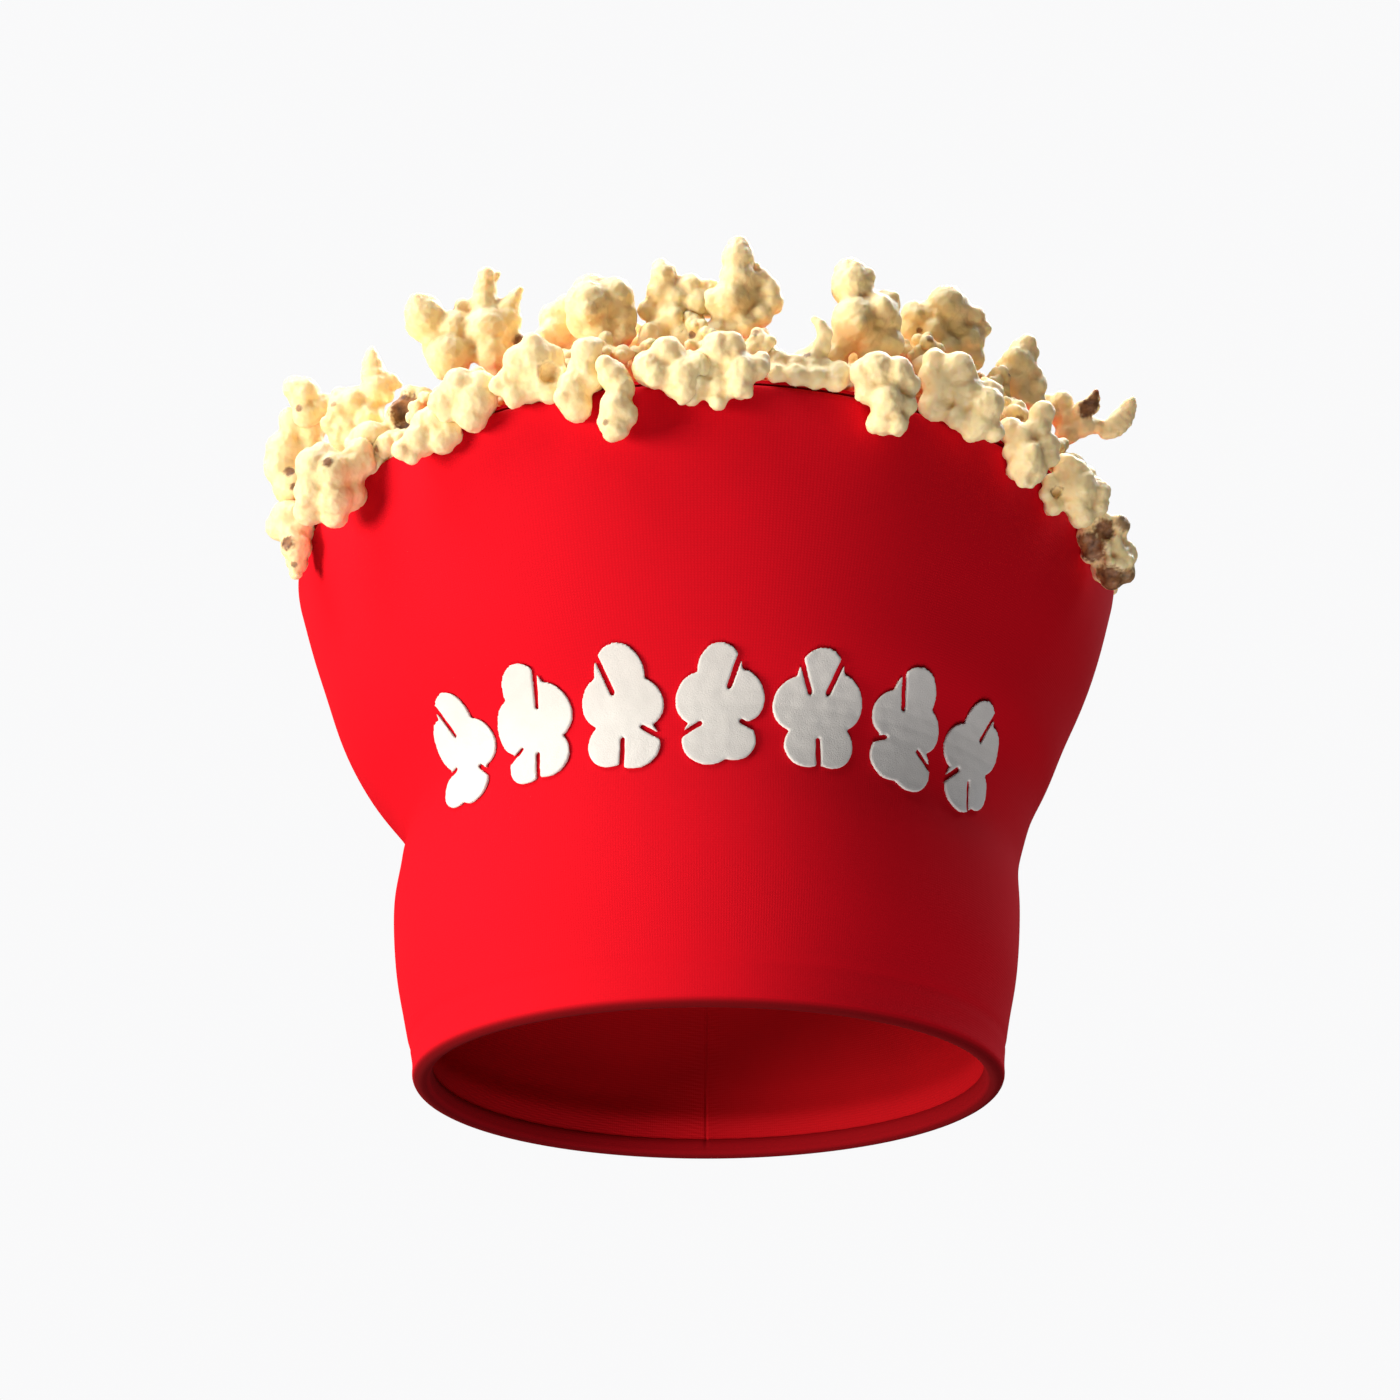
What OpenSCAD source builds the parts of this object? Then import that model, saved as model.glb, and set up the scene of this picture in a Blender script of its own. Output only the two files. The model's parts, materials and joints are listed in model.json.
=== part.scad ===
// Popcorn bucket hat: a padded fabric bucket worn on the head, with popcorn glued over its top edge.
// The origin is the centre of the head opening on the plane that the hem rests on. +Z is up, -Y is the front.

/* [Head opening] */
// Radius of the opening inside the head band
head_r = 90; // [86:0.5:94]
// Height of the straight stretch of wall above the hem
fit_h = 14; // [13:0.5:15]

/* [Bucket] */
// Height from the hem to the rim
rim_h = 176; // [170:1:182]
// Outer radius of the rim
rim_r = 147; // [144:0.5:150]
// Outer radius of the head band where it is fullest
band_r = 104.8; // [103:0.1:106]
// Outer radius at the shoulder, halfway up the flare
shoulder_r = 120; // [118:0.5:122]
// Thickness of the whole padded wall
wall_t = 6; // [5.5:0.1:6.5]
// Thickness of the outer fabric and of the lining
cloth_t = 1.2; // [1:0.1:1.4]
// Height that the foam dome rises above the rim
dome_h = 36; // [30:1:40]

/* [Patches] */
// Number of felt patches across the front
patch_count = 7; // [5:1:7]
// Height of the middle of the row of patches
patch_z = 86; // [84:0.5:88]
// Height of one patch
patch_h = 37; // [30:0.5:38]
// Thickness of the felt
felt_t = 1; // [0.8:0.1:1.5]

/* [Popcorn] */
// Number of glued clumps round the sides and back of the rim
clump_count = 12; // [12:1:12]
// Size of a popcorn piece on top of the heap
heap_size = 33; // [28:1:34]
// Gap kept between neighbouring pieces
corn_gap = 0.4; // [0.3:0.1:1]

/* [Hidden] */
LEVELS = 44;                     // steps in the wall's outline, from hem to rim
HEM_LEVEL = 3;                   // level of the stitched top of the hem
ELASTIC_LEVELS = [18, 20];       // levels between which the waist elastic lies
CEILING_LEVEL = 39;              // level of the lining disc over the head
OUTER_EDGE_R = 2.4;              // radius of the rolled edge's outer corner
INNER_EDGE_R = 1.5;              // radius of the rolled edge's inner corner
ROLL_H = 3;                      // height of the rolled edge below the padding
HOOP_R = 1.5;                    // radius of the hoop's wire
BOARD_T = 2.5;                   // thickness of the crown board

RED = [0.86, 0.04, 0.08];
DARK_RED = [0.6, 0.03, 0.06];
FOAM = [0.9, 0.88, 0.8];
WHITE = [0.96, 0.95, 0.92];
CREAM = [0.98, 0.92, 0.68];

// The wall's outer outline: height and radius of each point that the fabric is drawn through
OUTLINE = [
    [0, head_r + wall_t], [6, head_r + wall_t], [18, head_r + wall_t + 2.3], [36, band_r - 2.4],
    [58, band_r - 0.1], [76, band_r - 0.1], [90, band_r + 2.9], [108, shoulder_r - 0.6],
    [128, shoulder_r + 9.3], [152, rim_r - 7.8], [rim_h, rim_r]
];

// Popcorn on the front of the rim. Each piece has its heading round the hat from the front, how far its
// middle is outside the rim, how high it is above the rim, and its size.
FRONT_CORN = [
    [-64, 6, -7, 24], [-48, 7, -9, 28], [-34, 6, -9, 20], [-28, 8, 1, 24], [-20, 6, 3, 20],
    [-14, 6, -2, 18], [-9, 6, -12, 19], [-4, 7, -2, 22], [3, 7, -3, 22], [12, 1, 12, 20],
    [20, 7, -4, 23], [30, 8, 1, 26], [41, 6, -6, 24], [50, 7, -8, 25], [60, 5, -16, 25],
    [-62, 8, 20, 28], [-56, 7, 37, 25], [-48, -1, 33, 27], [-42, -3, 16, 22], [-33, -6, 41, 36],
    [-22, -14, 36, 24], [-13, -9, 33, 27], [-5, -10, 36, 27], [6, -9, 37, 32], [21, -5, 34, 30],
    [36, -9, 44, 31], [47, -5, 36, 24], [57, 1, 31, 26]
];

// Headings of the patches round the hat, evenly spread over an arc that is a little right of centre
PATCH_SPREAD = 94;
PATCH_MIDDLE = 2;

function pad2(n) = n < 10 ? str("0", n) : str(n);
FRONT_NODES = [for (i = [1:len(FRONT_CORN)]) str("popcorn_", pad2(i))];
CLUMP_NODES = [for (i = [1:clump_count]) str("popcorn_clump_", pad2(i))];
PATCH_NODES = [for (i = [1:patch_count]) str("patch_", i)];

$fn = 96;

// ---- The wall's outline ----

function span_of(z) = max([for (i = [0:len(OUTLINE) - 2]) z >= OUTLINE[i][0] ? i : 0]);

function tangent(i) =
    let (a = OUTLINE[max(i - 1, 0)], b = OUTLINE[min(i + 1, len(OUTLINE) - 1)])
    i == 0 ? 0 : (b[1] - a[1]) / (b[0] - a[0]);

// Outer radius at a height: a smooth cubic through the outline's points
function wall_r(z) =
    let (i = span_of(z), p = OUTLINE[i], q = OUTLINE[i + 1], w = q[0] - p[0], t = (z - p[0]) / w)
    p[1] * (1 + 2 * t) * (1 - t) * (1 - t) + w * tangent(i) * t * (1 - t) * (1 - t)
    + q[1] * t * t * (3 - 2 * t) + w * tangent(i + 1) * t * t * (t - 1);

function wall_slope(z) = (wall_r(min(z + 0.5, rim_h)) - wall_r(max(z - 0.5, 0)));

function level_z(i) = rim_h * i / LEVELS;

// A point of the wall at a depth under its outer face
function wall_point(z, depth) =
    let (s = wall_slope(z), n = sqrt(1 + s * s))
    [wall_r(z) - depth / n, z + depth * s / n];

function skin(depth, from, to) = [for (i = [from:to]) wall_point(level_z(i), depth)];

function reversed(list) = [for (i = [len(list) - 1:-1:0]) list[i]];

// The wall's inner face, or a face a little outside it: straight at the head opening, then parallel to the wall
FIT_LEVEL = 5;
function inner_skin(cover, to) =
    concat([[head_r + cover, ROLL_H], [head_r + cover, fit_h]], skin(wall_t - cover, FIT_LEVEL, to));

module spun(outline) { rotate_extrude() polygon(outline); }

// ---- Fabric, foam and boards ----

module outer_shell() {
    color(RED) spun(concat(skin(0, HEM_LEVEL, LEVELS), reversed(skin(cloth_t, HEM_LEVEL, LEVELS))));
}

WAIST_LEVEL = ELASTIC_LEVELS[1];
core_depth = wall_t - cloth_t;

// Foam of the head band, with a channel on its inside for the elastic
module band_foam() {
    channel_depth = core_depth - cloth_t;
    color(FOAM) spun(concat(
        [[head_r + cloth_t, ROLL_H], [head_r + wall_t - cloth_t, ROLL_H]],
        skin(cloth_t, HEM_LEVEL, WAIST_LEVEL),
        reversed(skin(channel_depth, ELASTIC_LEVELS[0], ELASTIC_LEVELS[1])),
        reversed(skin(core_depth, FIT_LEVEL, ELASTIC_LEVELS[0])),
        [[head_r + cloth_t, fit_h]]));
}

// Foam of the flared bucket, from the waist to just below the hoop
module flare_foam() {
    color(FOAM) spun(concat(
        skin(cloth_t, WAIST_LEVEL, LEVELS - 1), reversed(skin(core_depth, WAIST_LEVEL, LEVELS - 1))));
}

module waist_elastic() {
    color(WHITE) spun(concat(
        skin(core_depth - cloth_t, ELASTIC_LEVELS[0], ELASTIC_LEVELS[1]),
        reversed(skin(core_depth, ELASTIC_LEVELS[0], ELASTIC_LEVELS[1]))));
}

module lining() {
    color(DARK_RED) spun(concat(inner_skin(0, CEILING_LEVEL + 1), reversed(inner_skin(cloth_t, CEILING_LEVEL + 1))));
}

// Rolled bottom edge: solid under the padding, with an outer leg that runs up to the line of stitching
module hem_binding() {
    outer_r = head_r + wall_t;
    corner = [for (a = [0:15:90]) [1 - sin(a), 1 - cos(a)]];
    color(RED) spun(concat(
        [[head_r, ROLL_H]],
        [for (c = reversed(corner)) [head_r, 0] + INNER_EDGE_R * c],
        [for (c = corner) [outer_r - OUTER_EDGE_R * c[0], OUTER_EDGE_R * c[1]]],
        [[outer_r, ROLL_H], [outer_r, 6], wall_point(level_z(HEM_LEVEL), 0)],
        [wall_point(level_z(HEM_LEVEL), cloth_t), [outer_r - cloth_t, ROLL_H]]));
}

module rim_hoop() {
    middle = wall_point(level_z(LEVELS) - 2 * HOOP_R, wall_t / 2);
    color(WHITE) rotate_extrude() translate([middle[0], middle[1] + HOOP_R / 2]) circle(HOOP_R, $fn = 32);
}

ceiling_z = level_z(CEILING_LEVEL);
crown_r = wall_point(level_z(CEILING_LEVEL), wall_t)[0] - 1;

module crown_lining() { color(DARK_RED) translate([0, 0, ceiling_z]) cylinder(h = cloth_t, r = crown_r); }

module crown_board() {
    color("burlywood") translate([0, 0, ceiling_z + cloth_t]) cylinder(h = BOARD_T, r = crown_r);
}

// Top of the foam dome at a distance from the middle
panel_r = rim_r - cloth_t - 0.3;
function dome_z(r) = rim_h + dome_h * cos(90 * min(r / panel_r, 1));

DOME_STEPS = 16;
function dome(rise, to_r) = [for (i = [0:DOME_STEPS]) let (r = to_r * i / DOME_STEPS) [r, dome_z(r) + rise]];

module crown_pad() {
    base = ceiling_z + cloth_t + BOARD_T;
    color(FOAM) spun(concat([[0, base], [crown_r, base]], reversed(dome(0, crown_r))));
}

module crown_panel() {
    color(RED) spun(concat(
        reversed(dome(cloth_t, crown_r)), dome(0, crown_r), [[panel_r, rim_h], [panel_r, rim_h + cloth_t]]));
}

// ---- Felt patches ----

// A popped kernel in outline: five lobes round a body, with clefts that run in between some of the lobes
LOBES_OUT = 5;
CLEFTS = [0, 1, 3];
function patch_lobe(angle) = [patch_h * 0.17 * cos(angle), patch_h * 0.29 * sin(angle)];

module kernel_outline(variant) {
    lean = [-8, 6, -3, 2, 5, -6, 8][variant];
    difference() {
        union() {
            circle(patch_h * 0.24);
            for (i = [0:LOBES_OUT - 1])
                translate(patch_lobe(90 + lean + 360 / LOBES_OUT * i))
                    circle(patch_h * (0.18 + 0.015 * ((i + variant) % 3)));
        }
        for (i = CLEFTS) {
            between = patch_lobe(90 + lean + 360 / LOBES_OUT * (i + variant + 0.5));
            rotate(atan2(between[1], between[0])) cleft();
        }
    }
}

// A slot from the outside with a round inner end
module cleft() {
    width = patch_h * 0.04;
    inner = patch_h * 0.19;
    translate([inner, -width / 2]) square([patch_h, width]);
    translate([inner, 0]) circle(width / 2);
}

function patch_heading(i) = PATCH_MIDDLE + PATCH_SPREAD * (i / (patch_count - 1) - 0.5);

// A patch is the part of a thin layer over the shell that its outline covers when seen from outside
module patch(i) {
    from = 15;
    to = 28;
    color(WHITE) intersection() {
        spun(concat(skin(-felt_t, from, to), reversed(skin(0, from, to))));
        rotate([0, 0, patch_heading(i)]) translate([0, 0, patch_z]) rotate([90, 0, 0])
            linear_extrude(height = 2 * rim_r) kernel_outline(i);
    }
}

// ---- Popcorn ----

function corn_at(heading, radius, height, size) =
    [radius * sin(heading), -radius * cos(heading), rim_h + height, size / 2];

// Three pieces glued into a clump: two side by side on the rim, one on top. Those at the sides sit further in.
SIDE_CLUMPS = 3;
function clump_heading(k) = 81 + 18 * k;
function clump(k) =
    let (side = k < SIDE_CLUMPS || k >= clump_count - SIDE_CLUMPS, wobble = 2 * sin(137 * k), h = clump_heading(k))
    [
        corn_at(h - 4.6, rim_r + (side ? -8 : 5), (side ? 13 : 1) + wobble, 23),
        corn_at(h + 4.4, rim_r + (side ? -7 : 6), (side ? 12 : -2) - wobble, 24),
        corn_at(h, rim_r + (side ? -12 : -8), 35 + 2 * wobble, 30)
    ];

function ring(count, radius, lift, size, turn) =
    [for (i = [0:count - 1]) corn_at(turn + 360 * i / count, radius, lift + 2 * sin(101 * i), size)];

function on_dome(radius, size) = dome_z(radius) - rim_h + cloth_t + 0.42 * size;

HEAP_OUTER = ring(20, 111, on_dome(111, heap_size), heap_size, 4);
HEAP_MIDDLE = concat(
    ring(14, 77, on_dome(77, heap_size), heap_size, 9),
    ring(8, 44, on_dome(44, heap_size), heap_size, 0),
    ring(2, 15, on_dome(12, heap_size), heap_size - 3, 40));

FRONT = [for (c = FRONT_CORN) corn_at(c[0], rim_r + c[1], c[2], c[3])];
CLUMPS = [for (k = [0:clump_count - 1]) each clump(k)];
ALL_CORN = concat(FRONT, CLUMPS, HEAP_OUTER, HEAP_MIDDLE);

function place(c) = [c[0], c[1], c[2]];

// Distance from a point outside the hat to its fabric
function fabric_gap(p) =
    let (r = norm([p[0], p[1]]), z = p[2], slope = 18)
    z <= rim_h ? (r - wall_r(z)) * cos(slope)
    : r > rim_r ? norm([r - rim_r, z - rim_h])
    : min((z - dome_z(r) - cloth_t) * cos(slope), norm([r - rim_r, z - rim_h]));

// Room for a ball at point p of piece k, up to the plane halfway to each neighbour and to the fabric
function room(k, p) =
    let (a = ALL_CORN[k])
    min(fabric_gap(p), min([for (j = [0:len(ALL_CORN) - 1])
        let (b = ALL_CORN[j], gap = norm(place(b) - place(a)))
        j == k || gap > a[3] + b[3] + 2 ? 1000
        : let (way = (place(b) - place(a)) / gap, share = gap * a[3] / (a[3] + b[3]))
          share - (p - place(a)) * way])) - corn_gap / 2;

LOBES = 6;
// One popped kernel: a core with lobes round it, each ball turned so that its pole points out of the kernel
module kernel(k, seed) {
    size = ALL_CORN[k][3];
    middle = place(ALL_CORN[k]);
    core = min(0.68 * size, room(k, middle));
    turn = rands(0, 360, 1, k + seed)[0];
    step = 360 / (LOBES - 1);
    translate(middle) rotate([0, 0, turn + step / 2]) sphere(core, $fn = 32);
    for (i = [0:LOBES - 1]) {
        up = i == 0 ? 80 : i % 2 == 0 ? 25 : -30;
        around = turn + step * i;
        tip = middle + 0.6 * size * [cos(up) * cos(around), cos(up) * sin(around), sin(up)];
        lobe = min(0.46 * size, room(k, tip));
        if (lobe > 0.2 * size && lobe + core > 0.72 * size)
            translate(tip) rotate([0, 90 - up, around]) sphere(lobe, $fn = 32);
    }
}

// A row of kernels. The seed sets how they are turned.
FIRST_SEED = 1;
OUTER_SEED = 101;
module kernels(from, count, seed = FIRST_SEED) {
    color(CREAM) for (k = [from:from + count - 1]) kernel(k, seed);
}

CLUMP_SIZE = 3;
first_clump = len(FRONT);
first_outer = first_clump + len(CLUMPS);
first_middle = first_outer + len(HEAP_OUTER);

outer_shell();
band_foam();
flare_foam();
lining();
hem_binding();
waist_elastic();
rim_hoop();
crown_lining();
crown_board();
crown_pad();
crown_panel();
for (i = [0:patch_count - 1])
    patch(i);
for (i = [0:len(FRONT_CORN) - 1])
    kernels(i, 1);
for (i = [0:clump_count - 1])
    kernels(first_clump + CLUMP_SIZE * i, CLUMP_SIZE);
kernels(first_outer, len(HEAP_OUTER), OUTER_SEED);  // heap_outer_ring
kernels(first_middle, len(HEAP_MIDDLE));  // heap_middle
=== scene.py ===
import json
import math
import random

import bmesh
import bpy
import numpy as np
from mathutils import Matrix, Vector, noise
from mathutils.bvhtree import BVHTree

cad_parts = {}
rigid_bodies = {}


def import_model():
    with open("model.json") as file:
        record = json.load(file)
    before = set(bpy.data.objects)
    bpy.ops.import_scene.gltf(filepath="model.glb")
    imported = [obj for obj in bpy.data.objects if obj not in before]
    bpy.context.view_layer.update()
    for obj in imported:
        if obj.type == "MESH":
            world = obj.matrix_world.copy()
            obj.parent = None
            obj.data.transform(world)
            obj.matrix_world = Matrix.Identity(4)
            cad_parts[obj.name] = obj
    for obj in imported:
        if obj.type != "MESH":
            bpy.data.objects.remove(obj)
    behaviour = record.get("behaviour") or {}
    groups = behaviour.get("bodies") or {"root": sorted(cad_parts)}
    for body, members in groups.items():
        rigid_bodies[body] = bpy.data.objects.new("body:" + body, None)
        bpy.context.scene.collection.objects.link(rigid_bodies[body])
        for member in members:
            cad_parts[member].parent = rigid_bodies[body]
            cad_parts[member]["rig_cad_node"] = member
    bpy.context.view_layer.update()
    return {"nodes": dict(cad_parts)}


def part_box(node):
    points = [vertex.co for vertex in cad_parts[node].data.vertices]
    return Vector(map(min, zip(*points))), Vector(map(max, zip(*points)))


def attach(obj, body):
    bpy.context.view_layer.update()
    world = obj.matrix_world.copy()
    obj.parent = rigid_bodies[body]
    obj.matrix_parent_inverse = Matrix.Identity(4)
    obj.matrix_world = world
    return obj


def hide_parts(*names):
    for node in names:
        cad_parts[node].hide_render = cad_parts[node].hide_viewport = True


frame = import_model()

MM = 0.001
BODY = "root"
collection = bpy.context.scene.collection

# ---------------------------------------------------------------- camera

# The viewer stands in front of the hat, below the opening, and looks up at it
CAMERA_AWAY = 622.6 * MM
CAMERA_DROP = 164.3 * MM
CAMERA_ASIDE = -2.2 * MM
CAMERA_TILT = 26.2
camera_data = bpy.data.cameras.new("camera")
camera_data.lens = 50
camera_data.sensor_width = 36
camera = bpy.data.objects.new("camera", camera_data)
collection.objects.link(camera)
camera.location = (CAMERA_ASIDE, -CAMERA_AWAY, -CAMERA_DROP)
camera.rotation_euler = (math.radians(90 + CAMERA_TILT), 0, 0)
bpy.context.scene.camera = camera

# ---------------------------------------------------------------- measures of the frame

shell_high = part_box("outer_shell")[1]
hem_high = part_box("hem_binding")[1]
ceiling_low, ceiling_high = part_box("crown_lining")
RIM_Z = shell_high.z - 0.6 * MM
RIM_R = shell_high.x
HEM_Z = hem_high.z
CEILING_Z = ceiling_low.z
OUTSIDE_R = 0.3


def tree_of(mesh):
    return BVHTree.FromPolygons([v.co for v in mesh.vertices], [p.vertices for p in mesh.polygons])


def cast_radius(trees, z, inward):
    """Radius where a level ray meets the CAD wall, coming from outside or from the axis."""
    start = Vector((OUTSIDE_R if inward else 0, 0, z))
    way = Vector((-1 if inward else 1, 0, 0))
    hits = [t.ray_cast(start, way)[0] for t in trees]
    found = [h.x for h in hits if h is not None]
    return (max(found) if inward else min(found)) if found else None


def end_slope(heights, radii):
    """How fast the radius grows with height over the last few rows."""
    return (radii[-1] - radii[-4]) / (heights[-1] - heights[-4])


# How far up and down the wall's facets are smoothed out
BLUR = 3.0 * MM


class Profile:
    """Radius of a wall by height, read off the CAD wall and smoothed over its facets."""

    def __init__(self, nodes, low, high, inward):
        trees = [tree_of(frame["nodes"][n].data) for n in nodes]
        heights = np.arange(low, high, MM)
        radii = [cast_radius(trees, float(z), inward) for z in heights]
        known = [(z, r) for z, r in zip(heights, radii) if r is not None]
        self.z = np.array([z for z, _ in known])
        raw = np.array([r for _, r in known])
        reach = np.arange(-6, 7) * MM
        weight = np.exp(-((reach / BLUR) ** 2))
        weight /= weight.sum()
        grid = np.interp(self.z[:, None] + reach[None, :], self.z, raw)
        # above its top the wall goes on with its last slope
        over_top = np.maximum(self.z[:, None] + reach[None, :] - self.z[-1], 0)
        grid += over_top * end_slope(self.z, raw)
        self.r = grid @ weight

    def __call__(self, z):
        top = np.maximum(np.asarray(z) - self.z[-1], 0)
        return np.interp(z, self.z, self.r) + top * end_slope(self.z, self.r)


outer_wall = Profile(["outer_shell", "hem_binding"], 3.5 * MM, RIM_Z - MM, inward=True)
inner_wall = Profile(["lining"], 4 * MM, CEILING_Z - 0.5 * MM, inward=False)


def hump(x, middle, width):
    return np.exp(-(((x - middle) / width) ** 2))


def humps(z, rows):
    """The sum of several humps, each a row of depth, middle and width in mm."""
    return sum(depth * hump(z, middle * MM, width * MM) for depth, middle, width in rows) * MM


# How the soft wall leaves the round, as rows of depth, height and width in mm: it leans to the left at the
# flare and to the right at the waist, and the left side folds in at the waist, below it and at the hem
LEAN = ((1.2, 122, 15), (-2.4, 87, 12))
LEFT_FOLDS = ((1.7, 83, 4.5), (0.8, 72, 10), (1.0, 4, 9))
LEFT = math.radians(-88)
LEFT_WIDTH = math.radians(42)


def slump(heading, z):
    """How far soft fabric stands out of the round: drawn in on the left of the waist, full on the right."""
    return -np.sin(heading) * humps(z, LEAN) - humps(z, LEFT_FOLDS) * hump(heading, LEFT, LEFT_WIDTH)


# The hollows of the soft wall: how deep, how wide for the size of the hat, and where in the noise they start
WAVE_DEPTH = 0.7 * MM
WAVE_SIZE = 0.8
WAVE_START = 3.0
BAND_R = 0.1


def slow_wave(heading, z):
    """Gentle hollows of a soft wall, uneven all the way round."""
    flat = np.broadcast_arrays(heading, z)
    out = [
        noise.noise(
            Vector((math.sin(h) / WAVE_SIZE, math.cos(h) / WAVE_SIZE, v / BAND_R / WAVE_SIZE + WAVE_START))
        )
        for h, v in zip(flat[0].ravel(), flat[1].ravel())
    ]
    return WAVE_DEPTH * np.array(out).reshape(flat[0].shape)


# ---------------------------------------------------------------- mesh helpers


def add_object(name, mesh, material, replaced):
    obj = bpy.data.objects.new(name, mesh)
    collection.objects.link(obj)
    mesh.materials.append(material)
    mesh.shade_smooth()
    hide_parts(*replaced)
    return obj


# The back seam's heading, how far on each side of it the mesh is finer, and the fine step
SEAM = math.pi
SEAM_REACH = math.radians(3.2)
SEAM_STEP = math.radians(0.2)


def headings(columns):
    """Headings all round, with extra ones at the back seam."""
    even = np.linspace(-math.pi, math.pi, columns, endpoint=False) + math.pi / columns
    near = np.arange(-SEAM_REACH, SEAM_REACH, SEAM_STEP) + SEAM
    near = (near + math.pi) % (2 * math.pi) - math.pi
    apart = np.abs((even - SEAM + math.pi) % (2 * math.pi) - math.pi)
    return np.sort(np.concatenate([even[apart > SEAM_REACH], near]))


def revolved(name, section, turns, relief):
    """A surface round the axis. relief(heading, z) is how far each point stands out along its normal."""
    section = np.array(section, float)
    along = np.gradient(section, axis=0)
    along /= np.linalg.norm(along, axis=1)[:, None]
    out = np.stack([along[:, 1], -along[:, 0]], axis=1)
    heading, z = turns[None, :], section[:, 1][:, None]
    step = relief(heading, z)
    radius = section[:, 0][:, None] + out[:, 0][:, None] * step + slump(heading, z)
    height = z + out[:, 1][:, None] * step
    co = np.stack([radius * np.sin(heading), -radius * np.cos(heading), height + 0 * radius], axis=2)
    rows, columns = co.shape[:2]
    index = np.arange(rows * columns).reshape(rows, columns)
    after = np.roll(index, -1, axis=1)
    faces = np.stack([index[:-1], after[:-1], after[1:], index[1:]], axis=2).reshape(-1, 4)
    mesh = bpy.data.meshes.new(name)
    mesh.from_pydata(co.reshape(-1, 3).tolist(), [], faces.tolist())
    mesh.update()
    return mesh


def arc(centre_r, centre_z, radius, start, end, steps):
    """Points of a round stretch of a section, from one angle to another in degrees."""
    return [
        (centre_r + radius * math.cos(math.radians(a)), centre_z + radius * math.sin(math.radians(a)))
        for a in np.linspace(start, end, steps)
    ]


def apply_modifiers(obj):
    """Puts the mesh that the object's modifiers make in place of the old one."""
    graph = bpy.context.evaluated_depsgraph_get()
    mesh = bpy.data.meshes.new_from_object(obj.evaluated_get(graph))
    obj.modifiers.clear()
    obj.data = mesh


def remesh(obj, voxel, smooth_rounds):
    """Makes one even skin of everything in the object, and smooths it."""
    even = obj.modifiers.new("remesh", "REMESH")
    even.mode = "VOXEL"
    even.voxel_size = voxel
    smooth = obj.modifiers.new("smooth", "SMOOTH")
    smooth.factor = 0.5
    smooth.iterations = smooth_rounds
    apply_modifiers(obj)


def coordinates(mesh, key="co"):
    """The places of a mesh's points, or their normals, as rows of three."""
    out = np.zeros(len(mesh.vertices) * 3)
    mesh.vertices.foreach_get(key, out)
    return out.reshape(-1, 3)


# ---------------------------------------------------------------- materials


class Paint:
    """A short way to write a node material."""

    def __init__(self, name, color, roughness):
        self.material = bpy.data.materials.new(name)
        self.material.use_nodes = True
        self.tree = self.material.node_tree
        self.shader = self.tree.nodes["Principled BSDF"]
        self.shader.inputs["Base Color"].default_value = (*color, 1)
        self.shader.inputs["Roughness"].default_value = roughness
        self.place = self.add("ShaderNodeTexCoord").outputs["Object"]

    def add(self, kind, **settings):
        node = self.tree.nodes.new(kind)
        for key, value in settings.items():
            setattr(node, key, value)
        return node

    def link(self, source, target):
        if isinstance(source, (int, float)):
            target.default_value = source
        else:
            self.tree.links.new(source, target)

    def math(self, operation, a, b=0.0, c=0.0):
        node = self.add("ShaderNodeMath", operation=operation)
        for value, socket in zip((a, b, c), node.inputs):
            self.link(value, socket)
        return node.outputs[0]

    def noise(self, scale, detail):
        node = self.add("ShaderNodeTexNoise")
        node.inputs["Scale"].default_value = scale
        node.inputs["Detail"].default_value = detail
        self.link(self.place, node.inputs["Vector"])
        return node.outputs["Fac"]

    def attribute(self, name):
        """A number that the mesh holds for each of its points."""
        return self.add("ShaderNodeAttribute", attribute_name=name).outputs["Fac"]

    def sheen(self, weight, roughness):
        self.shader.inputs["Sheen Weight"].default_value = weight
        self.shader.inputs["Sheen Roughness"].default_value = roughness

    def ramp(self, factor, stops):
        node = self.add("ShaderNodeValToRGB")
        elements = node.color_ramp.elements
        while len(elements) < len(stops):
            elements.new(0.5)
        for element, (position, color) in zip(elements, stops):
            element.position = position
            element.color = (*color, 1)
        self.link(factor, node.inputs["Fac"])
        return node.outputs["Color"]

    def mix(self, factor, a, b):
        node = self.add("ShaderNodeMix", data_type="RGBA")
        self.link(factor, node.inputs["Factor"])
        for value, key in ((a, "A"), (b, "B")):
            if isinstance(value, tuple):
                node.inputs[key].default_value = (*value, 1)
            else:
                self.link(value, node.inputs[key])
        return node.outputs["Result"]

    def color(self, source):
        self.link(source, self.shader.inputs["Base Color"])

    def bump(self, height, strength, distance):
        node = self.add("ShaderNodeBump")
        node.inputs["Strength"].default_value = strength
        node.inputs["Distance"].default_value = distance
        self.link(height, node.inputs["Height"])
        self.link(node.outputs["Normal"], self.shader.inputs["Normal"])

    def round_the_axis(self):
        """Heading in turns and height in metres, for a weave that runs round the hat."""
        split = self.add("ShaderNodeSeparateXYZ")
        self.link(self.place, split.inputs[0])
        turn = self.math("ARCTAN2", split.outputs["X"], split.outputs["Y"])
        return self.math("DIVIDE", turn, 2 * math.pi), split.outputs["Z"]

    def waves(self, value, per_unit):
        """A row of ridges from 0 to 1, so many of them in one unit of value."""
        angle = self.math("MULTIPLY", value, 2 * math.pi * per_unit)
        return self.math("MULTIPLY_ADD", self.math("SINE", angle), 0.5, 0.5)


def darker(color, share):
    return tuple(share * c for c in color)


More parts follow.
